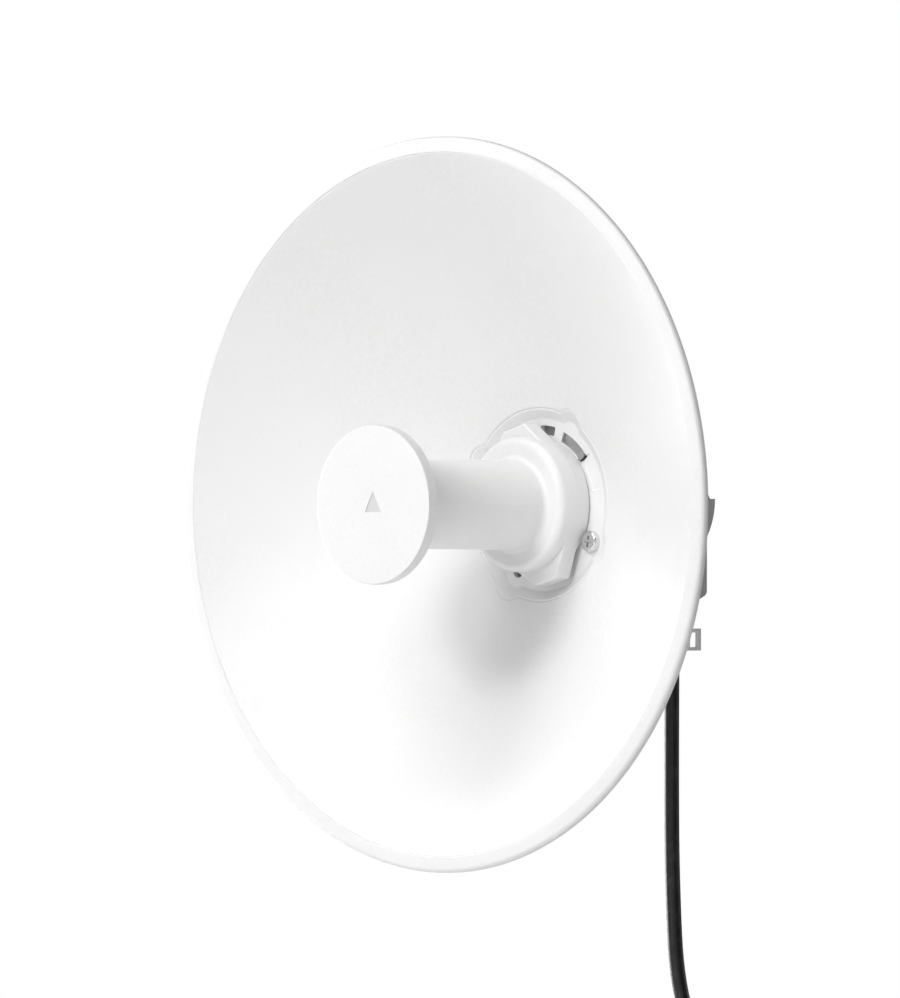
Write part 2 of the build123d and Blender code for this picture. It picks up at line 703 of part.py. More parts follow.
# ---------------------------------------------------------------- tilt bracket
def cheek(side):
    """One side cheek of the tilt bracket; side is 1 on the right and -1 on the left."""
    inner, outer = CHEEK_IN, CHEEK_IN + CHEEK_T
    lower_y, lower_z = 120.5, -49.5
    upper_z = 40.0
    slope = 3.0 / 4.8
    upper_y = CHEEK_BACK - slope * (upper_z - PIVOT_Z)
    outline = [
        (RING_BACK, lower_z), (lower_y, lower_z), (CHEEK_BACK, -43.5),
        (CHEEK_BACK, PIVOT_Z), (upper_y, upper_z), (RING_BACK, upper_z),
    ]
    plate = plate_x(inner, outer, *outline)
    corner = plate.edges().filter_by(Axis.X).sort_by(Axis.Y)
    plate = fillet([e for e in corner if abs(e.center().Z + 43.5) < 0.1], 3.0)
    rib_w = 6.0
    rib = plate_x(
        inner, outer + 2.3,
        (CHEEK_BACK - 0.2, PIVOT_Z - 1.0), (CHEEK_BACK - 0.2, PIVOT_Z), (upper_y, upper_z),
        (RING_BACK, upper_z), (RING_BACK, upper_z - rib_w), (upper_y - 3.5, upper_z - rib_w),
        (CHEEK_BACK - 8.0, PIVOT_Z - 1.0),
    )
    disc = rod_x(SECTOR_R, outer, BOSS_OUT, PIVOT_Y, PIVOT_Z)
    disc &= block(outer, BOSS_OUT, RING_BACK, 140, PIVOT_Z - 50, PIVOT_Z)
    disc += rod_x(10.0, outer, BOSS_OUT, PIVOT_Y, PIVOT_Z)
    shape = plate + rib + disc
    shape -= rod_x(BOLT_R, inner, BOSS_OUT, PIVOT_Y, PIVOT_Z)
    shape -= rod_x(BOLT_R, inner, BOSS_OUT, PIVOT_Y, PIVOT_Z - LOCK_R)
    # Degree marks along the sector's rim: a long one every ten degrees.
    for degree in range(-20, 21, 5):
        length = 3.5 if degree % 10 == 0 else 2.0
        mark = Box(0.5, 0.6, length, align=(Align.MAX, Align.CENTER, Align.MIN))
        turn = Pos(BOSS_OUT + 0.1, PIVOT_Y, PIVOT_Z) * Rot(degree, 0, 0)
        shape -= turn * Pos(0, 0, -SECTOR_R + 0.6) * mark
    if side < 0:
        shape = mirror(shape, Plane.YZ)
    return shape


def tilt_bracket():
    wide = CHEEK_IN + CHEEK_T
    base = block(-wide, wide, RING_BACK, BASE_BACK, -49.5, 40.0)
    base -= rod_y(30.2, RING_BACK - 1, BASE_BACK + 1)
    bracket = base + cheek(1) + cheek(-1)
    for angle in SCREW_ANGLES:
        x, z = around(angle, SCREW_RING_R)
        bracket -= rod_y(2.45, RING_BACK - 1, BASE_BACK + 1, x, z)
    return bracket - drain_hole()


# ---------------------------------------------------------------- pole side
def belt(grow):
    """Outline of a strap pulled tight round the pole and the saddle's web, grown outwards."""
    lean = math.acos((POLE_R - PULLEY_R) / PULLEY_X)
    big, small = POLE_R + grow, PULLEY_R + grow
    c, s = math.cos(lean), math.sin(lean)
    start, end = (big * c, big * s), (big * c, -big * s)
    tip_start = (PULLEY_X + small * c, small * s)
    tip_end = (PULLEY_X + small * c, -small * s)
    around_pole = ThreePointArc(start, (-big, 0), end)
    around_web = ThreePointArc(tip_end, (PULLEY_X + small, 0), tip_start)
    return make_face([around_pole, Line(end, tip_end), around_web, Line(tip_start, start)])


def strap(grow, thickness, width, z):
    """A closed strap of the given width, at a height z."""
    ring = extrude(belt(grow + thickness), width) - extrude(belt(grow), width)
    return Pos(0, 0, z - width / 2) * ring


def pole_bracket():
    """Cast bracket: saddle on the pole, web with slots for the straps, plate for the tilt joint."""
    saddle = make_face(
        Polyline(
            (21.0, 27.5), (27.0, 27.5), (PLATE_X0 - 12.0, 10.0), (PLATE_X1, 10.0),
            (PLATE_X1, -10.0), (PLATE_X0 - 12.0, -10.0), (27.0, -27.5), (21.0, -27.5), close=True,
        )
    )
    body = Pos(0, 0, -SADDLE_HALF) * extrude(saddle, 2 * SADDLE_HALF)
    # The back plate stands beside the tilt bracket's left cheek.
    front_y, back_y = HEAD_Y + 87.0, 13.0
    outline = [
        (front_y + 8, -46), (back_y, -SADDLE_HALF), (back_y, SADDLE_HALF),
        (front_y + 14, 24), (front_y, 16), (front_y, -34),
    ]
    body += plate_x(PLATE_X0, PLATE_X1, *outline)
    body -= rod_z(POLE_R, -60, 60)
    half_slot = BAND_W / 2 + BAND_ROOM
    for z in (-BAND_Z, BAND_Z):
        body -= strap(-0.4, BAND_THICK + 1.2, 2 * half_slot, z)
        body -= block(20.0, 40.0, 18.5, 40.0, z - half_slot, z + half_slot)
        body -= block(20.0, 40.0, -40.0, -18.5, z - half_slot, z + half_slot)
    # Windows that lighten the casting between its ribs.
    body -= block(PLATE_X0 - 14, PLATE_X0 - 3, -30, 30, -16, 16)
    y, z = PIVOT
    body -= rod_x(BOLT_R + 0.06, PLATE_X0 - 1, PLATE_X1 + 1, y, z)
    body -= lock_slot()
    return body


def lock_slot():
    """Curved slot in the pole bracket for the lock bolt."""
    y, z = PIVOT
    half = 0.4 + BOLT_R
    ring = rod_x(LOCK_R + half, PLATE_X0 - 1, PLATE_X1 + 1, y, z)
    ring -= rod_x(LOCK_R - half, PLATE_X0 - 1, PLATE_X1 + 1, y, z)
    reach = TILT_LIMIT + 1.0
    far = 60.0
    turn = math.radians(reach)
    wedge = plate_x(
        PLATE_X0 - 1, PLATE_X1 + 1,
        (y, z), (y - far * math.tan(turn), z - far), (y + far * math.tan(turn), z - far),
    )
    slot = ring & wedge
    for side in (-1, 1):
        end_y = y + side * LOCK_R * math.sin(turn)
        end_z = z - LOCK_R * math.cos(turn)
        slot += rod_x(half, PLATE_X0 - 1, PLATE_X1 + 1, end_y, end_z)
    return slot


def tilt_bolt(drop):
    """Hexagon bolt along X, screwed into the tilt bracket's left boss from the pole's side."""
    y, z = PIVOT[0], PIVOT[1] - drop
    seat = PLATE_X0 - PLATE_GAP - WASHER_T
    head = Pos(seat - BOLT_HEAD_H, y, z) * Rot(0, 90, 0) * hex_prism(12.0, BOLT_HEAD_H)
    shank_end = HEAD_X - CHEEK_IN - 0.4
    return head + rod_x(BOLT_R - 0.01, seat, shank_end, y, z)


def tilt_washer(drop):
    y, z = PIVOT[0], PIVOT[1] - drop
    x1 = PLATE_X0 - PLATE_GAP
    return rod_x(7.4, x1 - WASHER_T, x1, y, z) - rod_x(BOLT_R + 0.2, x1 - 2, x1 + 1, y, z)


def band_clamp(z):
    """Steel strap round the pole, with its slotted tail lying on the outside."""
    ring = strap(0.0, BAND_THICK, BAND_W, z)
    outer = POLE_R + BAND_THICK
    section = Plane.XZ * Pos(outer + BAND_THICK / 2, 0) * Rectangle(BAND_THICK, BAND_W)
    tail = Rot(0, 0, 72) * revolve(section, Axis.Z, 64)
    for step in range(20):
        slot = Pos(outer + BAND_THICK, 0, 0) * Rot(14, 0, 0) * Box(1.5, 1.1, 8.0)
        tail -= Rot(0, 0, 75 + step * 3) * slot
    return ring + Pos(0, 0, z) * tail


def worm_housing(z):
    base_r = POLE_R + 2 * BAND_THICK + 0.05
    body = block(-8, 8, 25, WORM_Y, -7.4, 7.4) + rod_x(5.8, -8, 8, WORM_Y, 0)
    body -= rod_z(base_r, -10, 10)
    body -= rod_x(WORM_BORE, -6.5, 8.5, WORM_Y, 0)
    body -= rod_x(2.75, -9, 0, WORM_Y, 0)
    return Pos(0, 0, z) * body


def worm_screw(z):
    """Slotted hexagon screw whose worm drives the strap's tail."""
    body = rod_x(WORM_R, -6.0, 7.0, WORM_Y, 0)
    for step in range(7):
        x = -5.2 + step * 1.8
        core = rod_x(WORM_R - 0.7, x, x + 0.8, WORM_Y, 0)
        body -= rod_x(WORM_R + 1, x, x + 0.8, WORM_Y, 0) - core
    body += rod_x(2.4, -8.6, -5.9, WORM_Y, 0)
    body += rod_x(3.2, 7.0, 8.7, WORM_Y, 0)
    head = Pos(8.7, WORM_Y, 0) * Rot(0, 90, 0) * hex_prism(8.0, 4.6)
    head -= block(12.0, 14.0, WORM_Y - 5, WORM_Y + 5, -0.6, 0.6)
    return Pos(0, 0, z) * (body + head)


# ---------------------------------------------------------------- free lead
def in_lead_plane(side, height, depth=0.0):
    """A point of the lead's plane; depth is the distance behind it, away from the dish's front."""
    x = LEAD_X + (side - depth) * HALF_DIAGONAL
    y = LEAD_Y + (side + depth) * HALF_DIAGONAL
    return x, y, height


def lead_radii():
    radii = []
    for before, here, after in zip(LEAD_POINTS, LEAD_POINTS[1:], LEAD_POINTS[2:]):
        run_in = Vector(*here) - Vector(*before)
        run_out = Vector(*after) - Vector(*here)
        turn = math.radians(run_in.get_angle(run_out))
        radii.append(0.45 * min(run_in.length, run_out.length) / math.tan(turn / 2))
    return radii


def lead_path():
    points = [in_lead_plane(side, height) for side, height in LEAD_POINTS]
    return FilletPolyline(*points, radius=lead_radii())


def ethernet_lead():
    path = lead_path()
    section = Plane(origin=path @ 0, z_dir=path % 0) * Circle(CABLE_R)
    return sweep(section, path)


def coil_plane():
    """Plane of the coil: its normal is the coil's axis and its X points sideways."""
    sideways = (HALF_DIAGONAL, HALF_DIAGONAL, 0)
    forwards = (HALF_DIAGONAL, -HALF_DIAGONAL, 0)
    return Plane(origin=in_lead_plane(0, COIL_Z), x_dir=sideways, z_dir=forwards)


def lead_coil():
    """Outer shape of the turns lying together."""
    return coil_plane() * Torus(COIL_R, COIL_BUNDLE_R)


def coil_tie():
    """Strap round the bundle at the top of the coil."""
    turn = math.degrees(TIE_W / COIL_R)
    band = Circle(COIL_BUNDLE_R + 1.1) - Circle(COIL_BUNDLE_R + 0.05)
    section = Plane.XZ * Pos(COIL_R, 0) * band
    strap_piece = Rot(0, 0, 90 - turn / 2) * revolve(section, Axis.Z, turn)
    head = Pos(0, COIL_R + COIL_BUNDLE_R + 2.4, 0) * Box(8.0, 3.2, 6.5)
    head = fillet(head.edges().filter_by(Axis.Y), 1.0)
    return coil_plane() * (strap_piece + head)


def tail_rod(radius, top, bottom):
    x, y, _ = in_lead_plane(TAIL_SIDE, 0, TAIL_DEPTH)
    return rod_z(radius, bottom, top, x, y)


def lead_tail():
    """The lead's free end, from the coil to the plug's boot."""
    return tail_rod(CABLE_R, TAIL_TOP, TAIL_END)


def plug_frame():
    """Frame of the free plug: X across it, Y out of its latch side, Z along the lead, upwards."""
    origin = in_lead_plane(TAIL_SIDE, PLUG_TOP, TAIL_DEPTH)
    return Plane(origin=origin, x_dir=(HALF_DIAGONAL, HALF_DIAGONAL, 0), z_dir=(0, 0, 1))


def plug_boot():
    boot = Pos(0, 0, PLUG_BOOT_L / 2) * Cone(5.4, 4.4, PLUG_BOOT_L)
    for step in range(3):
        z = 3.0 + step * 2.6
        boot -= rod_z(7.0, z, z + 0.8) - rod_z(4.25, z, z + 0.8)
    return plug_frame() * boot


def plug_body():
    """Modular plug: clear body with a step, and slots at its nose for the contacts."""
    body = block(-PLUG_W / 2, PLUG_W / 2, -PLUG_H / 2, PLUG_H / 2, -PLUG_L, 0)
    body = fillet(body.edges().filter_by(Axis.Z), 0.4)
    front = -PLUG_H / 2
    for x in contact_places():
        body -= block(x - 0.25, x + 0.25, front - 1, front + 2.0, -PLUG_L - 1, -PLUG_L + CONTACT_L)
    return plug_frame() * body


def contact_places():
    return [(number - 3.5) * CONTACT_PITCH for number in range(8)]


def plug_contacts():
    front = -PLUG_H / 2
    blades = []
    for x in contact_places():
        blade = block(x - 0.2, x + 0.2, front + 0.3, front + 2.0, -PLUG_L + 0.2, -PLUG_L + CONTACT_L)
        blades.append(plug_frame() * blade)
    return blades


def plug_latch():
    """Springy lever moulded on the plug's back."""
    top = PLUG_H / 2
    outline = Polyline(
        (top, -PLUG_L + 1.0), (top + 1.0, -PLUG_L + 1.0), (top + 4.0, -3.0),
        (top + 4.0, 0.5), (top + 3.0, 0.5), (top + 3.0, -3.0), (top, -PLUG_L + 3.5), close=True,
    )
    lever = extrude(Plane.YZ * make_face(outline), 3.0, both=True)
    return plug_frame() * lever


nodes = {
    "dish_reflector": HEAD * dish_reflector(),
    "mount_ring": HEAD * mount_ring(),
    "dish_screws": [HEAD * s for s in dish_screws()],
    "lock_latch": HEAD * lock_latch(),
    "latch_pin": HEAD * latch_pin(),
    "feed_tube": HEAD * feed_tube(),
    "subreflector_cap": HEAD * subreflector_cap(),
    "subreflector_plate": HEAD * subreflector_plate(),
    "feed_spacer": HEAD * feed_spacer(),
    "waveguide": HEAD * waveguide(),
    "probe_board": HEAD * probe_board(),
    "backshort": HEAD * backshort(),
    "feed_seal": HEAD * feed_seal(),
    "front_case": HEAD * front_case(),
    "case_gasket": HEAD * case_gasket(),
    "rear_case": HEAD * rear_case(),
    "case_screws": [HEAD * s for s in case_screws()],
    "main_board": HEAD * main_board(),
    "board_posts": [HEAD * s for s in board_posts()],
    "board_screws": [HEAD * s for s in board_screws()],
    "shield_cans": [HEAD * s for s in shield_cans()],
    "processor": HEAD * processor(),
    "thermal_pad": HEAD * thermal_pad(),
    "ethernet_jack": HEAD * ethernet_jack(),
    "jack_board": HEAD * jack_board(),
    "light_pipes": [HEAD * s for s in light_pipes()],
    "reset_button": HEAD * reset_button(),
    "reset_switch": HEAD * reset_switch(),
    "vent_plug": HEAD * vent_plug(),
    "ground_screw": HEAD * ground_screw(),
    "gland_body": HEAD * gland_body(),
    "gland_seal": HEAD * gland_seal(),
    "gland_nut": HEAD * gland_nut(),
    "cable_boot": HEAD * cable_boot(),
    "inner_lead": HEAD * inner_lead(),
    "inner_plug": HEAD * inner_plug(),
    "tilt_bracket": HEAD * tilt_bracket(),
    "pole_bracket": pole_bracket(),
    "pivot_bolt": tilt_bolt(0),
    "pivot_washer": tilt_washer(0),
    "lock_bolt": tilt_bolt(LOCK_R),
    "lock_washer": tilt_washer(LOCK_R),
    "band_clamp_upper": band_clamp(BAND_Z),
    "band_clamp_lower": band_clamp(-BAND_Z),
    "worm_housing_upper": worm_housing(BAND_Z),
    "worm_housing_lower": worm_housing(-BAND_Z),
    "worm_screw_upper": worm_screw(BAND_Z),
    "worm_screw_lower": worm_screw(-BAND_Z),
    "ethernet_lead": ethernet_lead(),
    "lead_coil": lead_coil(),
    "coil_tie": coil_tie(),
    "lead_tail": lead_tail(),
    "plug_boot": plug_boot(),
    "plug_body": plug_body(),
    "plug_contacts": plug_contacts(),
    "plug_latch": plug_latch(),
}

os.makedirs("parts", exist_ok=True)
for name, shape in nodes.items():
    solids = shape if isinstance(shape, list) else [shape]
    group = Compound(children=[s for piece in solids for s in piece.solids()])
    export_step(group, f"parts/{name}.step")

print("lead radii", [round(r) for r in lead_radii()])
tube_length = nodes["ethernet_lead"].volume / (math.pi * CABLE_R**2)
print("lead tube", round(tube_length, 1), "path", round(lead_path().length, 1))
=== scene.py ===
import json
import math

import bmesh
import bpy
from mathutils import Matrix, Vector


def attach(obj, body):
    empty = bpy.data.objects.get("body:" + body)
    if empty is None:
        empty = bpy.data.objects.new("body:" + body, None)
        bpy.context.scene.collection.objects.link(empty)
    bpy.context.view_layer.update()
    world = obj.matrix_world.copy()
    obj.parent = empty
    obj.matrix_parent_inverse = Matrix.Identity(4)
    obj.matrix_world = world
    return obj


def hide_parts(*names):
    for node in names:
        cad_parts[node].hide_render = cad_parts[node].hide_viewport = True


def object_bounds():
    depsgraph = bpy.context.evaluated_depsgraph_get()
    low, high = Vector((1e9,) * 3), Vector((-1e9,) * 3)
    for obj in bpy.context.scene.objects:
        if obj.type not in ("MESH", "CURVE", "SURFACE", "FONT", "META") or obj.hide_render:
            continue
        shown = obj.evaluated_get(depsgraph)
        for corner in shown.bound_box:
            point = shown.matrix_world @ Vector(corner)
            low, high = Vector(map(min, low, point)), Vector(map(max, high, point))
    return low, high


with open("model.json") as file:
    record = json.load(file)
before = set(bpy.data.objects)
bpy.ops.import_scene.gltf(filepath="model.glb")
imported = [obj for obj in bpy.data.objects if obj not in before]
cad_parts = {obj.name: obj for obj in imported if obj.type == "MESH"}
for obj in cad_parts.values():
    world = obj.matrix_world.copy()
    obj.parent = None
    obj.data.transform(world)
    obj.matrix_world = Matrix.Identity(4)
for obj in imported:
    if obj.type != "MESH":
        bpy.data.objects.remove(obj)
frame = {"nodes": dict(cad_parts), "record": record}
CAD_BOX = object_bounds()

MM = 0.001
DIAGONAL = math.sqrt(0.5)

# ---------------------------------------------------------------- places, in millimetres
HEAD_X, HEAD_Y = 112.0, -128.0  # the dish's axis, and the plane of its rim

RIM_R = 177.5
CREASE_R, CREASE_Y = 169.9, -1.65  # where the bowl meets the flat rim band
RIM_ROLL = 2.4
LIP_DEPTH = 1.6  # from the middle of the rolled edge to the back of its lip
BAND_T = 2.2
DISH_T = 2.5
PAN_R, PAN_EDGE_Y = 46.8, 66.2  # the recess's outer edge
FLOOR_R, FLOOR_Y, FLOOR_BACK = 41.9, 69.2, 71.7  # the recess's floor
NECK_HOLE_R = 29.6
SCREW_RING_R = 37.9
LOBE_ANGLES = (62, 152, 242, 332)
PAN_LOBE_R, FLOOR_LOBE_R = 12.4, 6.8
LOBE_EXTRA = 0.6  # the lobes lie further out, where the bowl is this much shallower
PARABOLA_K = (CREASE_R**2 - PAN_R**2) / (PAN_EDGE_Y - CREASE_Y)
PARABOLA_VERTEX = PAN_EDGE_Y + PAN_R**2 / PARABOLA_K

DISH_STEPS = 480  # points round each ring of the dish's mesh
DISH_SLOTS = ((38.25, 68.25, 32.6, 37.8), (77.25, 92.25, 33.9, 38.4))  # angles, then radii
SHALLOW = (12.0, 38.25, 34.5, 39.4, 0.7)  # angles, radii and depth of the shallow band in the floor
DRAIN_ANGLE, DRAIN_RING_R, DRAIN_R = 242.0, 36.4, 3.3
SEAM_DEPTH = 0.6  # fine groove along the recess's edge and along the rim's crease
SEAM_SPREAD = 0.22  # half the groove's width along the recess's edge, measured along Y
LOBE_BLEND, FLOOR_BLEND = 0.3, 0.2  # rounding where the lobes, and the floor, meet the recess's wall
BOSS_WALL, BOSS_FALL = 2.4, 0.8  # the boss behind the recess: its margin, and the width of its edge

CAP_FRONT = -47.0
ARROW_SHADE_DEPTHS = (0.15, 0.45)  # depths behind the cap's front between which the shallow arrow's floor is painted darker grey, as painted shade in its recess

CABLE_R = 3.65
LEAD_X, LEAD_Y = 147.0, -5.3
LEAD_POINTS = [
    (0.0, -79.5),
    (-0.25, -128.0),
    (0.1, -182.0),
    (2.6, -236.0),
    (15.0, -268.0),
    (32.0, -289.0),
    (43.0, -311.0),
]
COIL_R, COIL_Z = 40.0, -335.0
COIL_TURNS = 6
COIL_GAP = 0.25  # between neighbouring turns
COIL_START = 12.0  # angle at which the lead enters the coil
COIL_STEPS = 18  # control points in each turn
COIL_SWELL = 1.0 / 0.985  # the curve runs a little inside its control points
FIRST_SHIFT, SHIFT_ARC = 45.0, 50.0  # where the last turn moves on, and how much of a turn that takes
TAIL_SIDE, TAIL_DEPTH = 43.6, -7.6
TAIL_START, TAIL_END = COIL_Z - 17.0, COIL_Z - 31.0

AIM_RIGHT, AIM_UP = 3.857, 2.75  # the camera's aim, from the middle of the rim
CAMERA_LENS, CAMERA_SENSOR = 829.7, 36.0

# ---------------------------------------------------------------- the studio, in metres
CAMERA_DISTANCE = 10.0
STUDIO_FLOOR_R = 4.0
STUDIO_FLOOR_DROP = 0.03  # from the lowest point of the object down to the floor

LAMP_DISTANCE = 3.0
# Each soft box: its name, its direction from the middle of the dish, its width and its power in watts.
LAMPS = [
    ("box_front", (0.0, -1.0, 0.0), 2.0, 14.5),
    ("box_front_right", (0.7, -0.7, 0.0), 2.0, 8.0),
    ("box_front_high", (0.15, -0.9, 0.4), 0.6, 26.5),
    ("box_high", (0.0, -0.7, 0.7), 2.0, 23.0),
    ("box_high_right", (0.35, -0.75, 0.55), 0.7, 12.0),
    ("box_top_front", (0.0, -0.5, 0.87), 1.2, 19.0),
    ("box_top_left", (-0.6, -0.2, 0.77), 1.2, 22.5),
    ("box_left", (-1.0, 0.0, 0.0), 2.0, 120.0),
    ("box_back", (0.3, 0.9, 0.35), 2.0, 22.0),
]


# ---------------------------------------------------------------- camera
def add_camera():
    """Level, 45 degrees round from the dish's front, far off through a long lens."""
    right = Vector((DIAGONAL, DIAGONAL, 0))
    back = Vector((DIAGONAL, -DIAGONAL, 0))
    rim_centre = Vector((HEAD_X, HEAD_Y, 0)) * MM
    target = rim_centre + right * AIM_RIGHT * MM + Vector((0, 0, AIM_UP * MM))
    data = bpy.data.cameras.new("camera")
    data.sensor_fit = "HORIZONTAL"
    data.sensor_width = CAMERA_SENSOR
    data.lens = CAMERA_LENS
    data.clip_start, data.clip_end = 0.1, 100.0
    camera = bpy.data.objects.new("camera", data)
    bpy.context.scene.collection.objects.link(camera)
    camera.location = target + back * CAMERA_DISTANCE
    camera.rotation_euler = back.to_track_quat("Z", "Y").to_euler()
    bpy.context.scene.camera = camera


# ---------------------------------------------------------------- node materials
class Nodes:
    """A material under construction: a Principled shader and short ways to add nodes to it."""

    def __init__(self, name):
        self.material = bpy.data.materials.new(name)
        self.material.use_nodes = True
        self.tree = self.material.node_tree
        self.shader = self.tree.nodes["Principled BSDF"]
        self.place = self.tree.nodes.new("ShaderNodeTexCoord").outputs["Object"]

    def set(self, **values):
        for name, value in values.items():
            self.shader.inputs[name.replace("_", " ")].default_value = value

    def add(self, kind, inputs=(), **settings):
        node = self.tree.nodes.new(kind)
        for name, value in settings.items():
            setattr(node, name, value)
        for name, value in dict(inputs).items():
            if isinstance(value, bpy.types.NodeSocket):
                self.tree.links.new(value, node.inputs[name])
            else:
                node.inputs[name].default_value = value
        return node

    def link(self, output, name):
        self.tree.links.new(output, self.shader.inputs[name])

    def stretched(self, scale):
        """Object coordinates scaled by a different amount along each axis."""
        return self.add("ShaderNodeMapping", {"Vector": self.place, "Scale": scale}).outputs["Vector"]

    def noise(self, scale, detail=3.0, place=None, roughness=0.55):
        inputs = {"Vector": place or self.place, "Scale": scale}
        inputs |= {"Detail": detail, "Roughness": roughness}
        return self.add("ShaderNodeTexNoise", inputs).outputs["Fac"]

    def ramp(self, value, low, high, start=0.3, end=0.7):
        """Maps a value onto a range of numbers."""
        inputs = {"Value": value, "From Min": start, "From Max": end, "To Min": low, "To Max": high}
        return self.add("ShaderNodeMapRange", inputs).outputs["Result"]

    def mix(self, factor, first, second):
        """A blend of two colours: the colour sockets of a mix node are 6 and 7, and its result is 2."""
        return self.add("ShaderNodeMix", {0: factor, 6: first, 7: second}, data_type="RGBA").outputs[2]

    def arithmetic(self, operation, *values):
        return self.add("ShaderNodeMath", enumerate(values), operation=operation).outputs[0]

    def bump(self, height, distance, before=None):
        inputs = {"Height": height, "Distance": distance, "Strength": 1.0}
        if before is not None:
            inputs["Normal"] = before
        return self.add("ShaderNodeBump", inputs).outputs["Normal"]


def grey(value, warmth=0.0):
    return (value + warmth, value, value - warmth, 1.0)


def moulded(name, colour, shade, roughness, grain, depth, shaded_depths=None):
    """Moulded plastic: fine spark-eroded grain, faint cloudiness and a few dull patches.

    The last argument is a (from, to) range of Y, in millimetres, in which the plastic is painted darker
    grey, as painted shade inside a recess.
    """
    n = Nodes(name)
    cloud = n.ramp(n.noise(14.0, 4.0), 0.0, 1.0)
    speck = n.ramp(n.noise(grain * 0.33, 2.0), 0.0, 1.0, 0.35, 0.65)
    body = n.mix(cloud, colour, n.mix(speck, shade, colour))
    if shaded_depths:
        # Painted shade: between the given depths the colour turns darker grey, standing in for the shade
        # in the recess.
        y = n.add("ShaderNodeSeparateXYZ", {"Vector": n.place}).outputs["Y"]
        middle, half = sum(shaded_depths) / 2 * MM, (shaded_depths[1] - shaded_depths[0]) / 2 * MM
        tint = n.arithmetic("COMPARE", y, middle, half)
        body = n.mix(tint, body, n.mix(cloud, grey(0.62), grey(0.59)))
    n.link(body, "Base Color")
    n.link(n.ramp(n.noise(38.0, 5.0), roughness - 0.05, roughness + 0.07), "Roughness")
    n.link(n.bump(n.noise(grain, 2.0), depth), "Normal")
    n.set(IOR=1.48)
    return n.material


def coated_metal(name, colour, shade, bare, roughness, metallic=0.0):
    """Powder-coated casting: orange peel, a sandy grain beneath it and rubbed edges."""
    n = Nodes(name)
    cloud = n.ramp(n.noise(22.0, 5.0), 0.0, 1.0)
    body = n.mix(cloud, colour, shade)
    edge = n.add("ShaderNodeNewGeometry").outputs["Pointiness"]
    patch = n.ramp(n.noise(160.0, 4.0), 0.0, 1.0, 0.45, 0.62)
    rubbed = n.arithmetic("MULTIPLY", n.ramp(edge, 0.0, 0.25, 0.54, 0.62), patch)
    n.link(n.mix(rubbed, body, bare), "Base Color")
    n.link(n.ramp(n.noise(60.0, 4.0), roughness - 0.08, roughness + 0.10), "Roughness")
    grain = n.bump(n.noise(1500.0, 2.0), 0.00003)
    n.link(n.bump(n.noise(420.0, 2.0), 0.00006, grain), "Normal")
    n.set(Metallic=metallic)
    return n.material


def metal(name, colour, shade, roughness, stretch=(1.0, 1.0, 1.0), scale=700.0, depth=0.000008):
    """Bare metal: tool marks or rolling lines along one direction, and a little tarnish."""
    n = Nodes(name)
    lines = n.noise(scale, 3.0, n.stretched(stretch))
    stain = n.ramp(n.noise(55.0, 5.0), 0.0, 1.0, 0.40, 0.75)
    n.link(n.mix(stain, colour, shade), "Base Color")
    n.link(n.ramp(lines, roughness - 0.07, roughness + 0.10), "Roughness")
    n.link(n.bump(lines, depth), "Normal")
    n.set(Metallic=1.0)
    return n.material


def rubber(name, colour, dust, roughness, depth=0.00003):
    """Soft black or grey moulding with a dusty bloom."""
    n = Nodes(name)
    bloom = n.ramp(n.noise(90.0, 6.0), 0.0, 0.7, 0.45, 0.80)
    n.link(n.mix(bloom, colour, dust), "Base Color")
    n.link(n.ramp(n.noise(70.0, 4.0), roughness - 0.10, roughness + 0.08), "Roughness")
    n.link(n.bump(n.noise(2200.0, 2.0), depth), "Normal")
    n.set(IOR=1.5)
    return n.material


def cable_sheath():
    """Semi-matt polyethylene: lengthwise extrusion lines and paler scuffs."""
    n = Nodes("sheath_black")
    scuff = n.ramp(n.noise(130.0, 6.0), 0.0, 1.0, 0.52, 0.72)
    n.link(n.mix(scuff, (0.006, 0.006, 0.007, 1.0), (0.022, 0.022, 0.024, 1.0)), "Base Color")
    n.link(n.ramp(n.noise(240.0, 4.0), 0.30, 0.48), "Roughness")
    drawn = n.noise(900.0, 3.0, n.stretched((1.0, 1.0, 0.06)))
    n.link(n.bump(drawn, 0.00002), "Normal")
    n.set(IOR=1.5)
    return n.material


def clear_plastic():
    """Clear polycarbonate with an uneven haze."""
    n = Nodes("clear_polycarbonate")
    n.link(n.ramp(n.noise(200.0, 4.0), 0.04, 0.16), "Roughness")
    tint = n.ramp(n.noise(40.0, 3.0), 0.0, 1.0)
    n.link(n.mix(tint, (0.90, 0.93, 0.95, 1.0), (0.80, 0.85, 0.88, 1.0)), "Base Color")
    n.link(n.bump(n.noise(900.0, 2.0), 0.00001), "Normal")
    n.set(IOR=1.58, Transmission_Weight=0.85)
    return n.material


def circuit_board():
    """Green solder mask over a grid of copper tracks."""
    n = Nodes("solder_mask")
    tracks = n.add(
        "ShaderNodeTexBrick",
        {"Vector": n.place, "Scale": 260.0, "Mortar Size": 0.05, "Bias": -0.2},
    )
    cloud = n.ramp(n.noise(60.0, 4.0), 0.0, 1.0)
    mask = n.mix(cloud, (0.010, 0.085, 0.040, 1.0), (0.014, 0.120, 0.055, 1.0))
    n.link(n.mix(tracks.outputs["Fac"], mask, (0.030, 0.200, 0.090, 1.0)), "Base Color")
    n.link(n.ramp(n.noise(400.0, 3.0), 0.22, 0.40), "Roughness")
    n.link(n.bump(tracks.outputs["Fac"], 0.00003), "Normal")
    return n.material


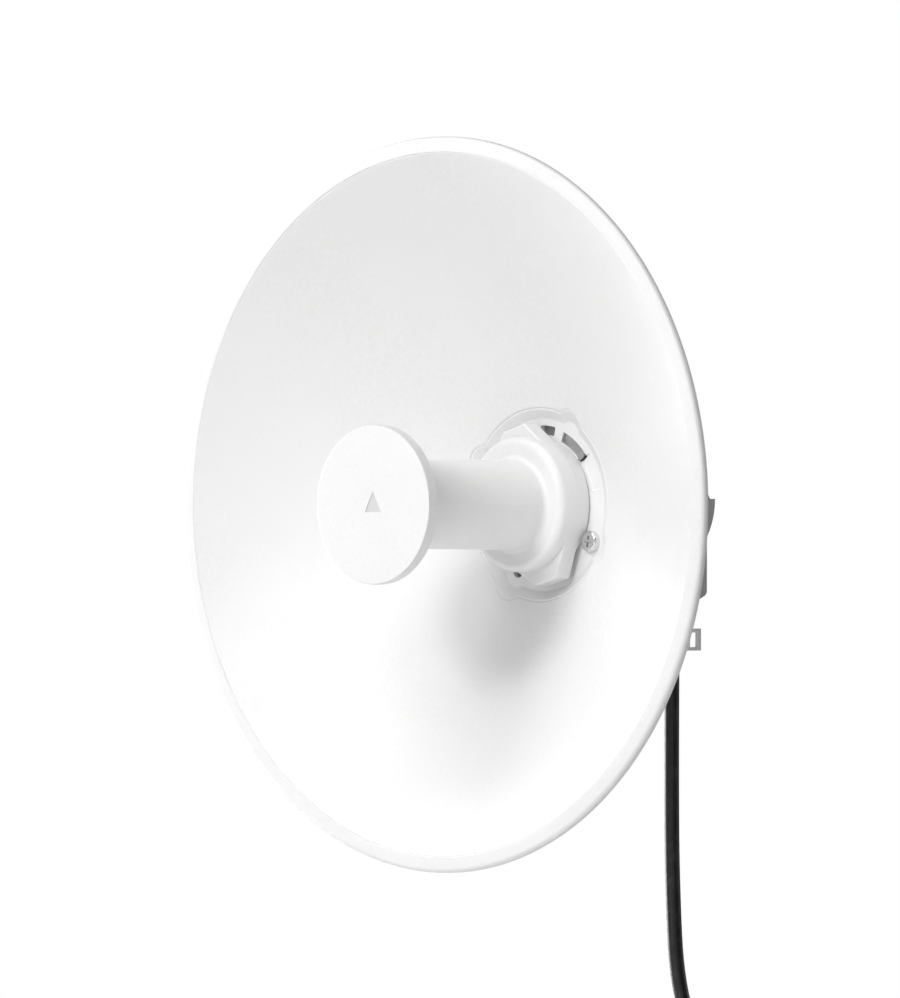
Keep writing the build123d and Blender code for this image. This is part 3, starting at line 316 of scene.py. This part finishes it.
def woven_tape():
    """Hook-and-loop tape: a fine over-and-under weave with fuzz."""
    n = Nodes("woven_black")
    thread = {"Vector": n.place, "Scale": 420.0, "Distortion": 1.5}
    warp = n.add("ShaderNodeTexWave", thread, bands_direction="Z")
    weft = n.add("ShaderNodeTexWave", thread, bands_direction="X")
    weave = n.arithmetic("MULTIPLY", warp.outputs["Fac"], weft.outputs["Fac"])
    n.link(n.mix(weave, (0.006, 0.006, 0.007, 1.0), (0.040, 0.040, 0.044, 1.0)), "Base Color")
    n.link(n.ramp(n.noise(500.0, 4.0), 0.80, 0.95), "Roughness")
    n.link(n.bump(weave, 0.0003), "Normal")
    n.set(Sheen_Weight=0.4)
    return n.material


def feed_plastic(name, shaded_depths=None):
    return moulded(name, grey(0.76), grey(0.73, 0.002), 0.38, 1700.0, 0.000010, shaded_depths)


def make_materials():
    """One finish for each material slot of the record."""
    across, up = (1.0, 0.2, 1.0), (1.0, 1.0, 14.0)  # the directions of the lines on rolled steel
    return {
        "dish_white": moulded("dish_white", grey(0.76), grey(0.73, 0.002), 0.42, 1400.0, 0.000012),
        "feed_white": feed_plastic("feed_white"),
        "case_white": moulded("case_white", grey(0.74), grey(0.70, 0.003), 0.50, 1100.0, 0.00003),
        "cast_grey": coated_metal("cast_grey", grey(0.52), grey(0.46), grey(0.72), 0.42, 0.9),
        "bracket_paint": coated_metal("bracket_paint", grey(0.44), grey(0.41), grey(0.60), 0.50, 0.15),
        "bright_steel": metal("bright_steel", grey(0.76), grey(0.60), 0.10, depth=0.000002),
        "spring_steel": metal("spring_steel", grey(0.46), grey(0.38), 0.30, across, 120.0, 0.000001),
        "band_steel": metal("band_steel", grey(0.66), grey(0.54), 0.30, up, 260.0, 0.00001),
        "bare_aluminium": metal("bare_aluminium", grey(0.80), grey(0.68), 0.28, (1.0, 8.0, 1.0), 300.0),
        "jack_steel": metal("jack_steel", grey(0.70), grey(0.58), 0.25, (1.0, 1.0, 6.0), 400.0),
        "brass": metal("brass", (0.80, 0.60, 0.28, 1.0), (0.58, 0.40, 0.17, 1.0), 0.28),
        "gold_contacts": metal("gold_contacts", (0.95, 0.70, 0.28, 1.0), (0.80, 0.55, 0.20, 1.0), 0.16),
        "clear_plastic": clear_plastic(),
        "circuit_board": circuit_board(),
        "black_rubber": rubber("black_rubber", grey(0.014), grey(0.035), 0.62),
        "black_plastic": rubber("black_plastic", grey(0.020), grey(0.032), 0.45, 0.00002),
        "grey_silicone": rubber("grey_silicone", grey(0.30), grey(0.36), 0.70),
        "grey_plastic": moulded("grey_plastic", grey(0.42), grey(0.36), 0.48, 1200.0, 0.00003),
        "cable_black": cable_sheath(),
        "black_fabric": woven_tape(),
    }


# ---------------------------------------------------------------- mesh helpers
def make_object(name, mesh, slot, body, *replaced):
    """Puts a mesh or curve in the scene on its body, in place of the CAD nodes named last."""
    obj = bpy.data.objects.new(name, mesh)
    bpy.context.scene.collection.objects.link(obj)
    mesh.materials.clear()
    mesh.materials.append(MATERIALS[slot])
    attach(obj, body)
    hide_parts(*replaced)
    return obj


def head_point(r, y, angle):
    """A point about the dish's axis, from millimetres in the head's frame to metres."""
    turn = math.radians(angle)
    return Vector((HEAD_X + r * math.cos(turn), HEAD_Y + y, r * math.sin(turn))) * MM


def bm_to_mesh(bm, name):
    bmesh.ops.recalc_face_normals(bm, faces=bm.faces)
    mesh = bpy.data.meshes.new(name)
    bm.to_mesh(mesh)
    bm.free()
    return mesh


def arc(centre, radius, start, end, steps):
    """Points of an arc in a (radius, y) outline; angles in degrees."""
    points = []
    for step in range(steps + 1):
        turn = math.radians(start + (end - start) * step / steps)
        points.append((centre[0] + radius * math.cos(turn), centre[1] + radius * math.sin(turn)))
    return points


# ---------------------------------------------------------------- dish
def parabola(r):
    return PARABOLA_VERTEX - r * r / PARABOLA_K


def soft_max(a, b, width):
    """The larger of two numbers, rounded where they cross."""
    share = max(width - abs(a - b), 0.0) / width
    return max(a, b) + share * share * width / 4


def soft_min(a, b, width):
    return -soft_max(-a, -b, width)


def lobe_distances(r, angle):
    for lobe in LOBE_ANGLES:
        turn = math.radians(angle - lobe)
        yield math.sqrt(r * r + SCREW_RING_R**2 - 2 * r * SCREW_RING_R * math.cos(turn))


def front_y(r, angle):
    """Y of the dish's front: the reflecting surface, and the recess with its lobes."""
    slope = (PAN_R - FLOOR_R) / (FLOOR_Y - PAN_EDGE_Y)
    lobe_slope = (PAN_LOBE_R - FLOOR_LOBE_R) / (FLOOR_Y - PAN_EDGE_Y + LOBE_EXTRA)
    cut = FLOOR_Y - (r - FLOOR_R) / slope
    for distance in lobe_distances(r, angle):
        cut = soft_max(cut, FLOOR_Y - (distance - FLOOR_LOBE_R) / lobe_slope, LOBE_BLEND)
    cut = soft_min(cut, FLOOR_Y, FLOOR_BLEND)
    y = max(parabola(r), cut)
    y += SEAM_DEPTH * max(1.0 - abs(parabola(r) - cut) / SEAM_SPREAD, 0.0)
    start, end, r0, r1, depth = SHALLOW
    if start <= angle <= end and r0 <= r <= r1:
        y += depth
    return y


def back_y(r, angle):
    """Y of the dish's back: the shell, and the flat-backed boss behind the recess."""
    lobes = [distance - PAN_LOBE_R - BOSS_WALL for distance in lobe_distances(r, angle)]
    outside = min([r - PAN_R - BOSS_WALL] + lobes)
    rise = min(max(0.5 - outside / BOSS_FALL, 0.0), 1.0)
    rise = rise * rise * (3 - 2 * rise)
    shell = parabola(r) + DISH_T
    return max(shell, shell + (FLOOR_BACK - shell) * rise)


def spread(start, end, count):
    """Evenly spaced numbers from start up to, but not including, end."""
    return [start + (end - start) * step / count for step in range(count)]


def front_rings():
    """Radii of the front's rings: one on each edge of a slot, and many across the recess's wall."""
    slot_edges = [32.6, 33.9, 34.5, 35.6, 36.8, 37.8, 38.4, 39.4]
    bowl_start, bowl_end = 52.4, CREASE_R - 1.5
    radii = [NECK_HOLE_R, 31.3] + slot_edges
    radii += spread(39.8, bowl_start, 42) + spread(bowl_start, bowl_end, 40)
    return radii + [bowl_end, CREASE_R - 0.6]


def rim_outline():
    """(radius, y) points from the crease over the flat band, round the rolled edge and back inside it."""
    band_back = CREASE_Y + BAND_T
    roll_y = CREASE_Y + RIM_ROLL
    lip_back = roll_y + LIP_DEPTH
    points = [(CREASE_R - 0.1, CREASE_Y + SEAM_DEPTH), (CREASE_R + 0.35, CREASE_Y)]
    points += arc((RIM_R - RIM_ROLL, roll_y), RIM_ROLL, -90, 0, 7)
    points += [(RIM_R, roll_y + 0.9), (RIM_R - 0.35, lip_back - 0.1), (RIM_R - 0.9, lip_back)]
    points += [(RIM_R - 1.6, lip_back), (RIM_R - 1.9, lip_back - 0.4)]
    return points + [(RIM_R - 2.2, band_back), (CREASE_R + 1.5, band_back)]


def back_rings():
    """Radii of the back's rings, from the rim band inwards to the neck's hole."""
    boss_start, boss_end = 53.2, 47.6
    radii = spread(CREASE_R + 1.5 - 0.6, boss_start, 26) + spread(boss_start, boss_end, 16)
    return radii + [boss_end, 44.0, 41.0, 38.4, 37.8, 33.9, 32.6, NECK_HOLE_R]


def in_slot(r, angle):
    return any(a0 < angle < a1 and r0 < r < r1 for a0, a1, r0, r1 in DISH_SLOTS)


def dish_mesh():
    """The dish as closed rings about its axis: over the front, round the rim and in along the back."""
    outline = [(r, front_y) for r in front_rings()]
    outline += [(r, lambda r, angle, y=y: y) for r, y in rim_outline()]
    outline += [(r, back_y) for r in back_rings()]

    bm = bmesh.new()
    turns = [360.0 * step / DISH_STEPS for step in range(DISH_STEPS)]
    rings = []
    for r, height in outline:
        rings.append([bm.verts.new(head_point(r, height(r, angle), angle)) for angle in turns])

    doomed = []
    for index in range(len(rings)):
        following = (index + 1) % len(rings)
        inner, outer = rings[index], rings[following]
        middle_r = (outline[index][0] + outline[following][0]) / 2
        for step in range(DISH_STEPS):
            after = (step + 1) % DISH_STEPS
            face = bm.faces.new((inner[step], inner[after], outer[after], outer[step]))
            if in_slot(middle_r, 360.0 * (step + 0.5) / DISH_STEPS):
                doomed.append(face)
    bmesh.ops.delete(bm, geom=doomed, context="FACES_ONLY")
    bridge_slots(bm, [edge for edge in bm.edges if edge.is_boundary])
    loose = [vert for vert in bm.verts if not vert.link_faces]
    bmesh.ops.delete(bm, geom=loose, context="VERTS")
    return bm_to_mesh(bm, "dish_shell")


def bridge_slots(bm, open_edges):
    """Joins the front edge of each slot to the back edge by walls straight through."""
    loops = []
    left = set(open_edges)
    while left:
        loop, todo = set(), [left.pop()]
        while todo:
            edge = todo.pop()
            loop.add(edge)
            for vert in edge.verts:
                for other in vert.link_edges:
                    if other in left:
                        left.remove(other)
                        todo.append(other)
        loops.append(loop)
    middle_y = (HEAD_Y + (FLOOR_Y + FLOOR_BACK) / 2) * MM
    fronts = [loop for loop in loops if middle_of(loop).y < middle_y]
    backs = [loop for loop in loops if loop not in fronts]
    for loop in fronts:
        match = min(backs, key=lambda other: (middle_of(other) - middle_of(loop)).length)
        bmesh.ops.bridge_loops(bm, edges=list(loop) + list(match))


def middle_of(loop):
    """The mean of the ends of a loop's edges."""
    points = [vert.co for edge in loop for vert in edge.verts]
    return sum(points, Vector()) / len(points)


def drilled(mesh, angle, ring_r, radius):
    """The dish's mesh with a round hole cut straight through its floor."""
    size = {"radius1": radius * MM, "radius2": radius * MM, "depth": 12 * MM}
    quarter_turn = Matrix.Rotation(math.radians(90), 3, "X")
    bm = bmesh.new()
    bmesh.ops.create_cone(bm, cap_ends=True, segments=64, **size)
    bmesh.ops.rotate(bm, cent=(0, 0, 0), matrix=quarter_turn, verts=bm.verts)
    bmesh.ops.translate(bm, vec=head_point(ring_r, FLOOR_Y, angle), verts=bm.verts)
    blank = bpy.data.objects.new("blank", mesh)
    drill = bpy.data.objects.new("drill", bm_to_mesh(bm, "drill"))
    for obj in (blank, drill):
        bpy.context.scene.collection.objects.link(obj)
    cut = blank.modifiers.new("cut", "BOOLEAN")
    cut.operation, cut.solver, cut.object = "DIFFERENCE", "EXACT", drill
    ready = blank.evaluated_get(bpy.context.evaluated_depsgraph_get())
    result = bpy.data.meshes.new_from_object(ready)
    for obj in (blank, drill):
        bpy.data.objects.remove(obj)
    return result


def add_dish():
    mesh = drilled(dish_mesh(), DRAIN_ANGLE, DRAIN_RING_R, DRAIN_R)
    mesh.name = "dish_shell"
    mesh.shade_smooth()
    mesh.set_sharp_from_angle(angle=math.radians(40.0))
    make_object("dish_shell", mesh, "dish_white", "head", "dish_reflector")


# ---------------------------------------------------------------- lead
def lead_point(side, height, depth=0.0):
    """A point of the lead, from its distance to the camera's right, its height and its depth."""
    x = LEAD_X + (side - depth) * DIAGONAL
    y = LEAD_Y + (side + depth) * DIAGONAL
    return Vector((x, y, height)) * MM


def coil_places():
    """Seven places across the bundle, outwards and backwards from its middle, each beside the next."""
    pitch = 2 * CABLE_R + COIL_GAP
    turns = [math.radians(angle) for angle in range(0, 360, 60)]
    ring = [(pitch * math.cos(turn), pitch * math.sin(turn)) for turn in turns]
    return [ring[0], ring[1], ring[2], ring[3], (0.0, 0.0), ring[4], ring[5]]


def coil_points():
    """Control points of the coil; every turn moves on to the next place, the last turn first."""
    places = coil_places()
    points = []
    for turn in range(COIL_TURNS):
        shift_from = FIRST_SHIFT + SHIFT_ARC * (COIL_TURNS - 1 - turn)
        last = turn == COIL_TURNS - 1
        for step in range(COIL_STEPS + 1 if last else COIL_STEPS):
            angle = 360.0 * step / COIL_STEPS
            share = min(max((angle - shift_from) / SHIFT_ARC, 0.0), 1.0)
            here, after = places[turn], places[turn + 1]
            out = here[0] + (after[0] - here[0]) * share
            back = here[1] + (after[1] - here[1]) * share
            along = math.radians(COIL_START - angle)
            radius = (COIL_R + out) * COIL_SWELL
            points.append((radius * math.cos(along), COIL_Z + radius * math.sin(along), back))
    return points


def lead_route():
    """The whole route: down from the boot, round the coil and out along the tail."""
    route = [(side, height, 0.0) for side, height in LEAD_POINTS]
    route += coil_points()
    route += [(TAIL_SIDE, TAIL_START, TAIL_DEPTH), (TAIL_SIDE, TAIL_END, TAIL_DEPTH)]
    return [lead_point(*place) for place in route]


def add_lead():
    """The free lead, from the boot under the radio to its plug."""
    route = lead_route()
    curve = bpy.data.curves.new("data_lead", "CURVE")
    curve.dimensions = "3D"
    curve.resolution_u = 8
    curve.bevel_depth = CABLE_R * MM
    curve.bevel_resolution = 6
    curve.use_fill_caps = True
    spline = curve.splines.new("NURBS")
    spline.points.add(len(route) - 1)
    for point, place in zip(spline.points, route):
        point.co = (*place, 1.0)
    spline.order_u = 3
    spline.use_endpoint_u = True
    lead = make_object(
        "data_lead", curve, "cable_black", "head", "ethernet_lead", "lead_coil", "lead_tail"
    )


# ---------------------------------------------------------------- light
def add_area(name, place, target, size, power):
    """A square soft box at place that faces target."""
    data = bpy.data.lights.new(name, "AREA")
    data.shape = "SQUARE"
    data.size = size
    data.energy = power
    light = bpy.data.objects.new(name, data)
    bpy.context.scene.collection.objects.link(light)
    light.location = place
    light.rotation_euler = (Vector(place) - Vector(target)).to_track_quat("Z", "Y").to_euler()


def add_studio():
    """A white surround that only shows as a backdrop, and the soft boxes that light the object."""
    world = bpy.data.worlds.new("studio")
    bpy.context.scene.world = world
    world.use_nodes = True
    background = world.node_tree.nodes["Background"]
    background.inputs["Color"].default_value = (1.0, 1.0, 1.0, 1.0)
    background.inputs["Strength"].default_value = 1.0
    world.cycles_visibility.diffuse = False
    world.cycles_visibility.glossy = False
    middle = Vector((HEAD_X, HEAD_Y + 40, 0)) * MM
    for name, direction, size, power in LAMPS:
        add_area(name, middle + Vector(direction).normalized() * LAMP_DISTANCE, middle, size, power)


def add_floor():
    """A round pale floor under the hanging lead."""
    bm = bmesh.new()
    bmesh.ops.create_circle(bm, cap_ends=True, segments=96, radius=STUDIO_FLOOR_R)
    mesh = bpy.data.meshes.new("floor")
    bm.to_mesh(mesh)
    bm.free()
    floor = bpy.data.objects.new("floor", mesh)
    bpy.context.scene.collection.objects.link(floor)
    floor.location = (HEAD_X * MM, 0, CAD_BOX[0].z - STUDIO_FLOOR_DROP)
    n = Nodes("floor_white")
    n.link(n.mix(n.ramp(n.noise(3.0, 4.0), 0.0, 1.0), grey(0.86), grey(0.84)), "Base Color")
    n.link(n.ramp(n.noise(30.0, 4.0), 0.55, 0.70), "Roughness")
    mesh.materials.append(n.material)


# ---------------------------------------------------------------- the model
MATERIALS = make_materials()


def dress_cad_nodes():
    """The CAD's own meshes keep their shape and get the finish of their slot."""
    for part in frame["record"]["subparts"]:
        mesh = frame["nodes"][part["node"]].data
        mesh.materials.clear()
        mesh.materials.append(MATERIALS[part["material_slot"]])
    # The floor of the cap's shallow arrow is painted darker grey, as painted shade in its recess.
    cap = frame["nodes"]["subreflector_cap"].data
    cap.materials[0] = feed_plastic("cap_white", [HEAD_Y + CAP_FRONT + depth for depth in ARROW_SHADE_DEPTHS])


dress_cad_nodes()
add_dish()
add_lead()
add_camera()
add_studio()
add_floor()
bpy.context.scene.view_settings.view_transform = "Standard"
